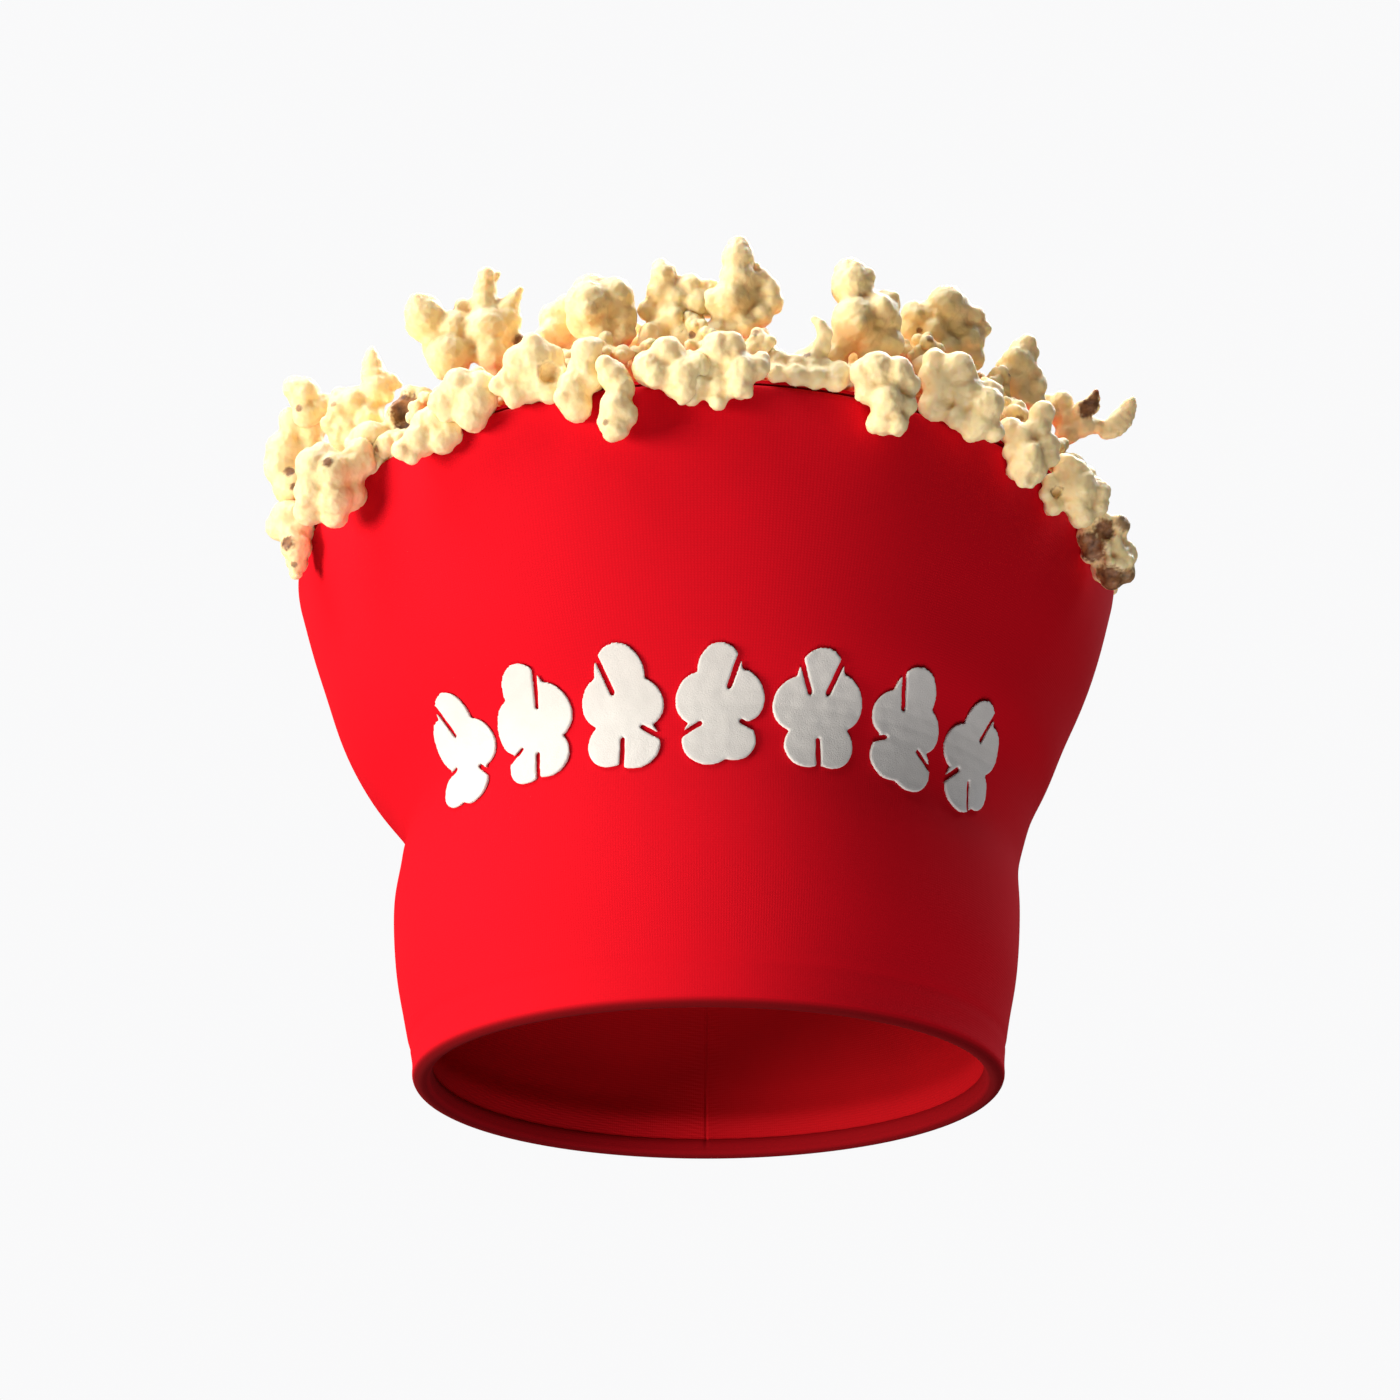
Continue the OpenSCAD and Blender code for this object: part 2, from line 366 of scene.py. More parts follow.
def cloth(name, color, dark, threads_round, rows_per_m, sheen, bump):
    """Knitted cloth: wales that run up the hat crossed by courses round it, a little uneven in colour, with
    painted shade where the mesh marks the hem's underside.
    """
    p = Paint(name, color, 0.85)
    turn, height = p.round_the_axis()
    wales = p.waves(turn, threads_round)
    courses = p.waves(height, rows_per_m)
    knit = p.math("MULTIPLY", wales, courses)
    fuzz = p.noise(1800, 3)
    patchy = p.noise(22, 3)
    shade = p.math("MULTIPLY_ADD", knit, 0.35, p.math("MULTIPLY", patchy, 0.5))
    # painted shade: where the mesh's 'under' number marks the hem's underside and the inside of the roll, the
    # colour goes to a deep maroon that stands in for the hat's own shade
    under = p.attribute("under")
    p.color(p.mix(under, p.ramp(shade, [(0.12, dark), (0.62, color)]), darker(dark, 0.24)))
    p.bump(p.math("MULTIPLY_ADD", fuzz, 0.35, knit), bump, 0.18 * MM)
    p.sheen(sheen, 0.5)
    p.shader.inputs["Sheen Tint"].default_value = (1.0, 0.25, 0.25, 1)
    p.shader.inputs["Specular IOR Level"].default_value = 0.08
    return p.material


def popcorn_paint():
    """Cream on the lobes, golden to brown deeper in the creases (partly the kernel's own colour, partly
    painted crease shade), brown where the hull still sticks.
    """
    p = Paint("popcorn", (0.95, 0.86, 0.58), 0.55)
    crease = p.attribute("crease")
    hull = p.attribute("hull")
    tone = p.attribute("tone")
    patchy = p.noise(150, 3)
    # the deeper a point lies in a crease, the darker and more golden its colour: partly the kernel's own
    # colour, partly painted shade in the creases
    deep = p.math("ADD", crease, p.math("MULTIPLY_ADD", patchy, 0.45, tone))
    cream_to_brown = [
        (0.10, (0.92, 0.76, 0.43)),
        (0.42, (0.90, 0.69, 0.34)),
        (0.66, (0.85, 0.54, 0.21)),
        (0.95, (0.58, 0.27, 0.08)),
    ]
    body = p.ramp(p.math("MULTIPLY_ADD", deep, 0.5, 0.2), cream_to_brown)
    shell = p.ramp(p.noise(420, 4), [(0.3, (0.09, 0.032, 0.012)), (0.7, (0.38, 0.17, 0.06))])
    p.color(p.mix(hull, body, shell))
    p.bump(p.noise(1100, 4), 0.2, 0.5 * MM)
    p.shader.inputs["Subsurface Weight"].default_value = 0.4
    p.shader.inputs["Subsurface Radius"].default_value = (0.9, 0.5, 0.2)
    p.shader.inputs["Subsurface Scale"].default_value = 4 * MM
    return p.material


def felt(name, color):
    """Pressed wool: matted fibres with no weave."""
    p = Paint(name, color, 0.9)
    fibres = p.noise(2600, 6)
    shade = p.math("MULTIPLY_ADD", p.noise(90, 3), 0.6, p.math("MULTIPLY", fibres, 0.4))
    p.color(p.ramp(shade, [(0.3, darker(color, 0.9)), (0.65, color)]))
    p.bump(fibres, 0.5, 0.3 * MM)
    p.sheen(0.3, 0.6)
    return p.material


def plain(name, color, dark, scale, roughness, bump):
    """A hidden part's material: two shades of one colour and a fine grain."""
    p = Paint(name, color, roughness)
    grain = p.noise(scale, 5)
    p.color(p.ramp(grain, [(0.35, dark), (0.65, color)]))
    p.bump(grain, bump, 0.4 * MM)
    return p.material


red_cloth = cloth(
    "red_cloth",
    color=(0.69, 0.002, 0.012),
    dark=(0.60, 0.0025, 0.010),
    threads_round=820,
    rows_per_m=1400,
    sheen=0.015,
    bump=0.2,
)
lining_cloth = cloth(
    "lining_cloth",
    color=(0.58, 0.005, 0.010),
    dark=(0.45, 0.003, 0.008),
    threads_round=700,
    rows_per_m=1100,
    sheen=0.01,
    bump=0.3,
)
felt_paint = felt("white_felt", (0.71, 0.69, 0.66))
corn_paint = popcorn_paint()
foam_paint = plain("foam", (0.86, 0.83, 0.72), (0.70, 0.66, 0.54), scale=900, roughness=0.95, bump=0.8)
elastic_paint = plain("elastic", (0.85, 0.84, 0.8), (0.6, 0.59, 0.56), scale=1500, roughness=0.8, bump=0.6)
hoop_paint = plain("hoop_plastic", (0.84, 0.84, 0.82), (0.78, 0.78, 0.75), scale=300, roughness=0.4, bump=0.1)
board_paint = plain("grey_board", (0.62, 0.47, 0.3), (0.5, 0.37, 0.22), scale=400, roughness=0.9, bump=0.3)

# ---------------------------------------------------------------- the cloth of the bucket

# The fold over the rim, how far down the cloth goes behind it, the middle of the roll at the hem, the height
# where the roll begins, and the step between the wall's rows
FOLD_R = 2.3 * MM
TUCKS = (8 * MM, 4 * MM)
ROLL_Z = 3.0 * MM
ROLL_TOP = 3.6 * MM
ROW_STEP = 1.5 * MM
outer_hem_r = float(outer_wall(4 * MM))
inner_hem_r = float(inner_wall(6 * MM))
# Where the cloth ends inside: it lies in front of the lining, and its edge goes in behind the lining
HEM_INSIDE = (4 * MM, 5 * MM, 6 * MM)
HEM_END = 7 * MM


def from_to(z, low, high):
    """0 below the first height, 1 above the second, and even in between."""
    return np.clip((z - low) / (high - low), 0, 1)


def seam_line(heading, radius, height, width):
    """The line where the cloth is joined up the back, and how far it stands out."""
    apart = (np.pi - np.abs(heading)) * radius
    return height * hump(apart, 0, width)


def bucket_relief(heading, z):
    """The groove above the hem, the seam up the back and the gentle hollows of the wall."""
    groove = -0.3 * MM * hump(z, HEM_Z, 1.2 * MM)
    seam = seam_line(heading, 0.11, -0.7 * MM, 0.9 * MM)
    return (groove + seam) * from_to(z, 2 * MM, 10 * MM) + slow_wave(heading, z) * from_to(z, 4 * MM, 24 * MM)


def shade_under_hem(mesh, roll_r):
    """Marks the underside of the roll and the hem inside, which lie in the hat's own shade."""
    co = coordinates(mesh)
    inside = np.clip((roll_r + MM - np.hypot(co[:, 0], co[:, 1])) / (1.5 * MM), 0, 1)
    low = np.clip((2.4 * MM - co[:, 2]) / (1.6 * MM), 0, 1)
    under = np.where(co[:, 2] < 8 * MM, np.maximum(0.8 * inside, low), 0)
    mesh.attributes.new("under", "FLOAT", "POINT").data.foreach_set("value", under.astype(np.float32))


def make_bucket_cloth():
    fold_z = RIM_Z - FOLD_R
    top = float(outer_wall(fold_z)) - FOLD_R
    section = [(top - FOLD_R, fold_z - tuck) for tuck in TUCKS]
    section += arc(top, fold_z, FOLD_R, 180, 8, 12)
    section += [(float(outer_wall(z)), z) for z in np.arange(fold_z - MM, ROLL_TOP, -ROW_STEP)]
    roll_r = (outer_hem_r + inner_hem_r) / 2
    section += arc(roll_r, ROLL_Z, (outer_hem_r - inner_hem_r) / 2, 0, -180, 14)
    section += [(float(inner_wall(z)) - 0.4 * MM, z) for z in HEM_INSIDE]
    section += [(float(inner_wall(HEM_END)) + 0.3 * MM, HEM_END)]
    # the section runs down the outside, so its own normals point in and are turned over
    mesh = revolved("bucket_cloth", section, headings(380), lambda h, z: -bucket_relief(h, z))
    mesh.flip_normals()
    shade_under_hem(mesh, roll_r)
    obj = add_object("bucket_cloth", mesh, red_cloth, ["outer_shell", "hem_binding"])


RIB_PITCH = 1.7 * MM
RIB_DEPTH = 0.055 * MM
RIB_SLANT = 11


def lining_relief(heading, z):
    """Fine ribs that slant towards the back, and the seam that they meet at."""
    ribs = -RIB_DEPTH * (1 + np.cos(2 * np.pi * (z / RIB_PITCH + RIB_SLANT * np.abs(heading))))
    return ribs + seam_line(heading, 0.095, 0.5 * MM, 0.4 * MM)


def make_lining():
    heights = np.arange(3.2 * MM, CEILING_Z - 0.8 * MM, RIB_PITCH / 3.5)
    section = [(float(inner_wall(z)), z) for z in heights]
    mesh = revolved("lining_cloth", section, headings(270), lining_relief)
    obj = add_object("lining_cloth", mesh, lining_cloth, ["lining"])


make_bucket_cloth()
make_lining()

# ---------------------------------------------------------------- felt patches and inner layers


def headings_of(co):
    return np.arctan2(co[:, 0], -co[:, 1])


def push_out(co, step):
    """Moves points away from the axis."""
    co[:, :2] *= (1 + step / np.hypot(co[:, 0], co[:, 1]))[:, None]


def set_coordinates(mesh, co):
    mesh.vertices.foreach_set("co", co.ravel())
    mesh.update()


def lean(mesh, extra=0.0):
    """Moves a mesh's points in or out from the axis as the soft wall leans, and by a fixed step."""
    co = coordinates(mesh)
    push_out(co, slump(headings_of(co), co[:, 2]) + extra)
    set_coordinates(mesh, co)


def copy_of(node, name):
    obj = bpy.data.objects.new(name, frame["nodes"][node].data.copy())
    collection.objects.link(obj)
    obj.data.materials.clear()
    return obj


PATCHES = 7
LUMPS_PER_M = 260
LUMP_HEIGHT = 0.12 * MM


def make_patches():
    """The felt patches, which follow the wall's lean and its hollows and are a little lumpy themselves."""
    for number in range(1, PATCHES + 1):
        node = f"patch_{number}"
        obj = copy_of(node, f"felt_{node}")
        remesh(obj, 0.4 * MM, 4)
        mesh = obj.data
        lean(mesh, 0.1 * MM)
        co, no = coordinates(mesh), coordinates(mesh, "normal")
        lumps = [noise.noise(Vector(p) * LUMPS_PER_M) for p in co]
        wave = slow_wave(headings_of(co), co[:, 2])
        co += no * (LUMP_HEIGHT * np.array(lumps))[:, None]
        push_out(co, wave)
        set_coordinates(mesh, co)
        mesh.materials.append(felt_paint)
        mesh.shade_smooth()
        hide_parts(node)


def make_layers():
    for node, material, slot in (
        ("band_foam", foam_paint, "foam"),
        ("flare_foam", foam_paint, "foam"),
        ("waist_elastic", elastic_paint, "elastic"),
    ):
        obj = copy_of(node, f"soft_{node}")
        lean(obj.data)
        obj.data.materials.append(material)
        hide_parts(node)


CEILING_SAG = 1.5 * MM


def make_ceiling():
    """The round of lining under the crown: it hangs a little in the middle and is sewn to the lining."""
    radius = ceiling_high.x + 3 * MM
    rim = CEILING_Z - MM
    rings = np.linspace(0.0, radius, 40)[1:]
    turns = np.linspace(-math.pi, math.pi, 160, endpoint=False)
    sag = -CEILING_SAG * (1 - (rings / radius) ** 2)
    co = [(0.0, 0.0, rim - CEILING_SAG)]
    for r, s in zip(rings, sag):
        co += [(r * math.sin(t), -r * math.cos(t), rim + s) for t in turns]
    n = len(turns)
    faces = [(0, 1 + (k + 1) % n, 1 + k) for k in range(n)]
    for ring in range(len(rings) - 1):
        a = 1 + ring * n
        faces += [(a + k, a + (k + 1) % n, a + n + (k + 1) % n, a + n + k) for k in range(n)]
    mesh = bpy.data.meshes.new("ceiling_cloth")
    mesh.from_pydata(co, [], faces)
    mesh.update()
    obj = add_object("ceiling_cloth", mesh, lining_cloth, ["crown_lining"])


make_patches()
make_layers()
make_ceiling()

# ---------------------------------------------------------------- popcorn shapes


def unit_ball(detail):
    bm = bmesh.new()
    bmesh.ops.create_icosphere(bm, subdivisions=detail, radius=1.0)
    verts = np.array([v.co[:] for v in bm.verts])
    faces = np.array([[v.index for v in f.verts] for f in bm.faces])
    bm.free()
    return verts, faces


BALL = unit_ball(3)


def join_balls(name, balls):
    """One mesh of stretched balls: each is (middle, radius, axis, stretch along the axis)."""
    verts, faces, total = [], [], 0
    for middle, radius, axis, stretch in balls:
        a = np.array(Vector(axis).normalized())
        v = BALL[0] + (stretch - 1.0) * (BALL[0] @ a)[:, None] * a
        verts.append(v * radius + np.array(middle, float))
        faces.append(BALL[1] + total)
        total += len(v)
    mesh = bpy.data.meshes.new(name)
    mesh.from_pydata(np.vstack(verts).tolist(), [], np.vstack(faces).tolist())
    return mesh


def spread(rng, count, jitter):
    """Directions spread evenly over the sphere, each moved a little."""
    out = []
    turn = rng.uniform(0, 2 * math.pi)
    for i in range(count):
        z = 1 - 2 * (i + 0.5) / count
        a = turn + i * math.pi * (3 - math.sqrt(5))
        d = Vector((math.sqrt(1 - z * z) * math.cos(a), math.sqrt(1 - z * z) * math.sin(a), z))
        out.append((d + Vector([rng.gauss(0, jitter) for _ in range(3)])).normalized())
    return out


def burst(seed, wings, reach, fat, buds, core):
    """Balls of one popped kernel of about radius 1: a core, wings out of it and buds at their ends."""
    rng = random.Random(seed)
    balls = [((0, 0, 0), core, (0, 0, 1), 1.0)]
    for d in spread(rng, wings, 0.18):
        long = reach * rng.uniform(0.8, 1.15)
        thick = fat * rng.uniform(0.8, 1.2)
        balls.append((d * long * 0.5, thick * 0.8, d, 1.25))
        balls.append((d * long, thick, d, rng.uniform(0.85, 1.1)))
        side = d.orthogonal().normalized()
        for _ in range(buds):
            turn = Matrix.Rotation(rng.uniform(0, 2 * math.pi), 3, d)
            out = (turn @ side * 0.75 + d * rng.uniform(0.1, 0.7)).normalized()
            middle = d * long + out * thick * rng.uniform(0.7, 0.95)
            balls.append((middle, thick * rng.uniform(0.45, 0.72), out, rng.uniform(0.9, 1.2)))
    return balls


def neighbour_mean(values, edges):
    """For each point, the mean of its neighbours' values."""
    total, count = np.zeros_like(values), np.zeros(len(values))
    for a, b in ((0, 1), (1, 0)):
        np.add.at(total, edges[:, a], values[edges[:, b]])
        np.add.at(count, edges[:, a], 1)
    return total / np.maximum(count, 1).reshape(-1, *([1] * (values.ndim - 1)))


class Picture:
    """Directions for the viewer at the front of the hat: across to the right, up, and towards them."""

    across = Vector((1, 0, 0))
    up = Vector((0, -math.sin(math.radians(CAMERA_TILT)), math.cos(math.radians(CAMERA_TILT))))
    near = Vector((0, -math.cos(math.radians(CAMERA_TILT)), -math.sin(math.radians(CAMERA_TILT))))

    @classmethod
    def at(cls, across, up, near=0.0):
        return (cls.across * across + cls.up * up + cls.near * near) * MM


# The voxels of the front pieces, how far their balls are swollen while they run together, and how far the
# pieces hang below their CAD nodes, all in mm. Shared kernels have radius 1 and voxels to match.
FRONT_VOXEL = 0.5
CLOSING = 1.0
FRONT_DROP = 1.5
UNIT_VOXEL = 0.045

# Which way the thin leaf of one piece faces, and how flat it is
EAR = ((0.5, 0.4, 0.8), 0.5)

# Each glued piece on the front, as balls (across, up, near, radius) in mm about the middle of its CAD node.
# Leaves are thin parts added after the balls have run together: (across, up, near, radius, facing, flatness).
# Pits are hollows cut into it and stains are places where hull sticks, both as (across, up, size, strength).
# Drop is how far the piece hangs below its CAD node, where that isn't FRONT_DROP.
FRONT = {
    1: dict(
        balls=[
            (1, 3, 0, 6), (-1, 7, 0, 6), (2, -3, 1, 5), (2, -8, 1, 3.6), (2, -12, 1, 2.2), (-4, 4, -3, 5),
        ],
        stains=[(0, -2, 2.6, 1), (2, -9, 1.2, 0.8)],
    ),
    2: dict(
        balls=[
            (-7.5, 5, 2, 6), (-8, -3, 2, 6), (-10, -9, 1, 4.5), (-2, 3, 3, 6.5), (-1, -5, 2, 6),
            (3, -3, 0, 5), (-2, -10, 1, 4.3), (4, 5, 1, 5), (8, 6, 0, 3.5), (6, 10, 0, 4.5), (-5, 9, 2, 4),
        ],
        stains=[(-2, 5.5, 1.7, 1), (-5, 13, 1.3, 0.8)],
    ),
    3: dict(
        balls=[
            (3, 7, -2, 5.5), (-2, 1, 0, 5), (5, 1, 0, 4.3), (-7, -2, 1, 3.2), (8, 3, 0, 3.5),
            (-4, -4, 1, 2.6), (0, 6, -2, 5),
        ],
    ),
    4: dict(
        balls=[
            (3, -1, 1, 6.3), (1.5, -6, 1, 5), (-2, 3, -1, 5.5), (-7, -1, -2, 4.5), (4.5, 3, 0, 4.5),
            (-6, -4, -2, 4),
        ],
    ),
    5: dict(
        balls=[
            (1.5, 5, 0, 6.3), (-3, 4, 0, 5), (6, 5, 0, 4.6), (9.5, -1, 1, 3.6), (6, -5, 1, 3.6),
            (-6.5, -1, 0, 3.5), (-9.5, -3, 0, 2.8), (-4.5, -6, 0, 3.6), (0, -3.5, -1, 4.5), (4, 0, -1, 5),
        ],
        pits=[(6.7, 0, 3.6, 0.45)],
    ),
    6: dict(
        balls=[
            (2, 8, 0, 4.6), (4, 10, 0, 3), (1, 3, 0, 4.8), (-2, -2, 1, 4.6), (-1, -7.5, 1, 4.8),
            (-4.5, -5.5, 1, 3.2), (4, 0.5, -1, 3.8),
        ],
    ),
    7: dict(
        balls=[
            (-3, 9, -1, 4.6), (-0.5, 5, 0, 4), (-2, -0.5, 1, 5), (0.5, -2.5, 1, 4), (-2.3, -6, 1, 4.4),
            (-5.4, -5, 1, 2.4), (-3.2, -8.6, 1, 2.4), (-5.4, 12, -1, 3),
        ],
        stains=[(-5, -5.4, 1.2, 0.8)],
    ),
    8: dict(
        balls=[
            (-6.3, 0, 0, 5.2), (-1, 4.5, -1, 5), (4, -2.7, 1, 5.6), (4.4, -7, 1, 3.8), (8, 0, 0, 4.2),
            (-4.5, -2.7, 1, 3.8), (1, -6, 1, 3),
        ],
    ),
    9: dict(
        balls=[
            (-5.6, 7, 0, 4.8), (-1.6, 8, 0, 3.8), (1.5, 0, 1, 4.8), (1, -4.5, 1, 3.8), (6.4, 1, 0, 3.4),
            (7.3, 3.6, 0, 2.6), (-5.6, -3.6, 0, 3.2), (-5.6, -8.5, 0, 2.9), (-12.8, -2.7, 0, 5),
            (-13.5, -7, 0, 3), (-13.5, 2.7, -1, 3.6), (-7.4, 1, -1, 4),
        ],
    ),
    10: dict(
        balls=[
            (-9, -3.5, -1, 4.4), (-3.6, -5, 0, 4.6), (1, -6, 0, 4.2), (-11.5, -1, -2, 3.4),
            (-15, -5, 1, 3.4), (-10, -7, 5, 3.2), (-4, -7.8, 5, 3.4), (2, -8.4, 5, 3.6), (8, -9, 4, 3.6),
            (4.5, -6, 0, 4.4), (9, -7, 0, 4.4), (4, 2, 0, 2.9), (5, 5.5, 0, 2.5), (3.6, 8.4, 0, 1.9),
            (1.6, 10, 0, 1.2), (1.8, -1.8, 0, 2.8),
        ],
        stains=[(-0.5, -1, 1.1, 0.9)],
        drop=2,
    ),
    11: dict(
        balls=[
            (-3, 7, 0, 5.6), (-7, 6, 0, 4), (3.5, 6.3, 0, 4.6), (-5.4, 1, 0, 4), (0, -2.7, 1, 5),
            (-1, -8, 1, 4.4), (3, -9, 1, 3.6), (6.2, -3.6, 0, 3.2), (7.5, 2.7, 0, 3), (3.5, -10.7, 1, 2.4),
            (-3.2, -9, 1, 3), (1, 2, -1, 5),
        ],
    ),
    12: dict(
        balls=[
            (-9.7, 12.2, -1, 3.7), (-2.7, 9.5, 0, 5.2), (-8, 5.2, 0, 5.2), (0.2, 1.9, 0, 5.8),
            (6, -1.5, 1, 5.2), (7.7, 1.9, 0, 3.8), (3.6, -6.5, 1, 5), (-3, -5.5, 1, 3.4), (2, -9, 0, 3.6),
            (8.5, -9.5, 0, 3.2), (-9.6, -1.3, -2, 5), (-10.6, 8, -1, 4),
        ],
    ),
    13: dict(
        balls=[
            (-3, 5, 0, 4.4), (4.2, 3, 0, 4.2), (5.6, -1, 0, 2.8), (-2, -2, 1, 5), (-5, -4.7, 1, 3.4),
            (-3.4, -8.5, 1, 2.2), (-1, -9.4, 1, 1.5), (1, -4.7, 0, 3.6), (1.8, 8.7, -1, 4),
            (-6.8, 1, 0, 2.8), (3, 13, -1, 4), (-7, 8, -2, 4),
        ],
    ),
    14: dict(
        balls=[
            (-1, 4.3, 0, 5), (0.4, -0.6, 0, 5.4), (0, -5.4, 0, 4.4), (-8.8, 1.4, 1, 2.8),
            (-10.3, -2.5, 1, 2.6), (-8, -6.4, 1, 3), (-5.4, -0.6, -1, 3.2), (7.2, -1.6, -1, 3.6),
            (6.7, -6.4, -1, 3), (1.4, -9.3, 0, 4), (-4, 7.2, 0, 3.6),
        ],
        pits=[(-7.2, -2, 2.0, 0.9)],
    ),
    15: dict(
        balls=[
            (-7.8, 4, 0, 4.2), (-3.8, 8, 0, 4), (2.2, 7, 0, 3.6), (-3.8, 0, -1, 5), (0.2, -6, -1, 6),
            (4.2, -2, -1, 4.5), (0.2, -10.5, -1, 3.4), (4.2, -8, -1, 3.8), (-7, -2, -1, 3),
            (-2.6, 0, 4, 2.1), (0.6, 2, 3, 2), (2.6, -2, 3, 2), (1.6, -5.5, 4, 2.2), (-1.6, -5, 5, 1.8),
            (4.8, -4.5, 3, 2), (-6.5, 10, 0, 4.4),
        ],
        stains=[
            (-8, 0, 5.4, 1), (-2, -11, 5.5, 1), (-3.5, 5.5, 3.6, 1), (4.5, -11, 4.4, 0.9),
            (3.5, 8, 3.0, 0.8),
        ],
    ),
    16: dict(
        balls=[
            (-4.3, 3, 0, 6.6), (3.7, 10.7, 0, 5), (-1.3, 12.5, 0, 5), (-1.3, -9.3, 0, 7),
            (-5.3, -3.3, 0, 6), (4.2, 4.7, 0, 4.5), (1, -2, 0, 5),
        ],
        stains=[(-1.5, -5, 1.9, 1), (0.5, -10.5, 1.4, 0.9)],
    ),
    17: dict(
        balls=[
            (-9.5, 2, 0, 4.2), (-6, 1, 1, 4.6), (-8, -1.5, 1, 4.0), (-6, -7, 0, 4.5), (-2, -4, -1, 3.5),
            (3, -3, -2, 3.5),
        ],
        stains=[(-7.5, -5.2, 1.4, 0.9)],
    ),
    18: dict(
        balls=[
            (-1.6, 11.6, 0, 1.2), (-1.5, 9.4, 0, 2.3), (-1.4, 6.8, 0, 3.3), (-1.0, 3.4, 0, 4.3),
            (0, -1.8, 0, 4.9), (7, 0, 0, 1.6), (5, 1.5, 0, 2.2), (3.7, -4, 1, 2.4), (-7.4, -6.5, 0, 6),
            (-12, -8.4, 0, 4), (-12.5, -3.5, -1, 3), (-2, -7.5, 0, 4), (-2.4, -11.6, 1.5, 5),
            (-9, -13, 0, 4.5), (-11.5, -17, -1, 4.6), (-6.5, -17.5, 0, 4.6), (-15, -13, -1, 3.6),
        ],
        stains=[(-13.5, -7, 1.2, 0.7)],
    ),
    19: dict(
        balls=[
            (0.5, -2, -3, 7.4), (5.6, 4.6, 0, 3.8), (7, 0.5, 0, 3.4), (5.6, -4, 0, 3.6),
            (1.5, 5.8, -1, 3.4), (2.5, -8, 1, 3.4), (-2.6, -9.5, 1, 3.6), (0.3, -11.8, 0, 3),
            (-11, -8, 1, 5.4), (-8.3, -16, 1, 5), (-6, -9, -2, 5),
        ],
        pits=[(0, -1, 6, 1)],
        stains=[(0, 1, 5.5, 1), (1.5, -5, 4.4, 1), (4.6, 2.5, 2.6, 0.8)],
    ),
    20: dict(
        balls=[
            (-12, 3, 0, 6.4), (-12.9, 0, 0, 5.2), (-4.2, -10.6, 1, 7), (-8, -7.7, 0, 5),
            (-2.3, -1, -1, 5.5), (8.3, -2, 0, 7.5), (9.2, -9.6, 0, 5.5), (14, 2, 0, 5), (6.8, 6.7, 0, 4.6),
            (7.3, 11.5, 0, 3.8), (7.8, 15.4, 0, 3), (11, 16, -1, 1.4), (15, 5.8, 0, 3.4), (17, 9, 0, 2.2),
            (18.4, 11.2, 0, 1.3), (10.2, -14, 0, 3), (2.5, -5.8, 0, 5), (-0.4, 6, -1, 2.6),
            (17.5, -5, 0, 2.8),
        ],
        stains=[(-3.6, 4.6, 1.5, 1), (19, -6, 2.6, 1)],
    ),
    21: dict(
        balls=[(3, 0, 0, 6.3), (6, 6.4, 0, 5), (-0.7, -3.8, 0, 4.5), (1.2, 3.8, 0, 4.6), (-3, -9, 0, 4)],
    ),
    22: dict(
        balls=[
            (-4.3, 1.8, 1, 7.6), (-3.8, 6, 0, 6.4), (3.6, 5, 0, 6), (5.5, -0.6, 0, 5.2), (3.2, -8, 0, 5),
            (-6.6, -2.4, 0, 5), (-1, -4.3, 0, 6), (6.4, -6.2, 0, 3.6),
        ],
    ),
    23: dict(
        balls=[
            (-2.7, 8.6, 0, 3.9), (-3.1, 11.2, 0, 2.9), (-3.6, 4, 0, 4.3), (0.5, -4.3, 1, 5), (1, 2, 0, 4),
            (6, 5, 0, 4.4), (8, 0.3, 0, 4.6), (-7.8, -1.6, -1, 3), (-6, -10.5, 0, 4.5),
            (4.3, -10.5, 0, 4.5), (12, 0, -1, 4), (12, 4.5, -1, 3.4),
        ],
    ),
    24: dict(
        balls=[
            (-5.2, 11, 0, 5.2), (-5, 14, 0, 3.9), (-5.2, 5.2, 0, 5.4), (-7.3, -1.9, 1, 6.2),
            (-12.5, -2, 0, 4), (2.2, 5.2, -1, 3), (4.7, 1.8, 0, 3.3), (5.6, -2.3, 0, 3.5),
            (2.2, -6.5, 1, 3.5), (-2.7, -9.8, 1, 3.5), (-7, -11.5, 1, 3.3), (-12, -12.6, 1, 4.6),
            (0, -1, -2, 4.2),
        ],
    ),
    25: dict(
        balls=[
            (-4.8, 10, -1, 6.7), (-5.6, 13.3, -1, 4.8), (-4.4, -2.1, 1, 7.2), (3.1, 0, 1, 6.5),
            (5.6, 3.3, 0, 4.6), (-6.9, -6.6, 0, 5), (0.6, -5.8, 0, 6), (7, -2, 0, 3.6), (-11, -13.5, -1, 5),
            (6.5, -9, -1, 5), (2, -12, -1, 5),
        ],
    ),
    26: dict(
        balls=[
            (-3.2, 7.6, 1, 6.1), (-0.4, 6.4, 0, 5.4), (-6.4, 5.5, 0, 4.6), (-13.3, 4.5, -1, 4.5),
            (-14, 0, -1, 4), (6.4, 4.5, -1, 3.2), (9.3, 0.3, -1, 2.8), (4.3, -3.8, 0, 5.5),
            (5.6, -9.5, -1, 4.2), (-6.9, -0.9, 3, 4.3), (-10.3, -6.5, 0, 4.5), (-2.6, -6.5, 0, 4.8),
            (0.6, 0, 0, 4),
        ],
        stains=[(-12, -1.2, 1.0, 1)],
    ),
    27: dict(
        balls=[
            (-1.3, 5, 0, 5.8), (0.3, 9.5, 0, 4.2), (2, 12.2, 0, 2.8), (3.2, 8.6, 0, 2.8),
            (-3.7, 1.2, 0, 4.6), (-0.5, -1.7, 0, 3.8), (5, 2.2, 0, 2), (-5.6, 4.1, 0, 3), (5, -2, -1, 3.6),
            (-0.5, -5.6, 0, 4.4), (-3.6, -9, 0, 4), (4, -7, -1, 4),
        ],
    ),
    28: dict(
        balls=[
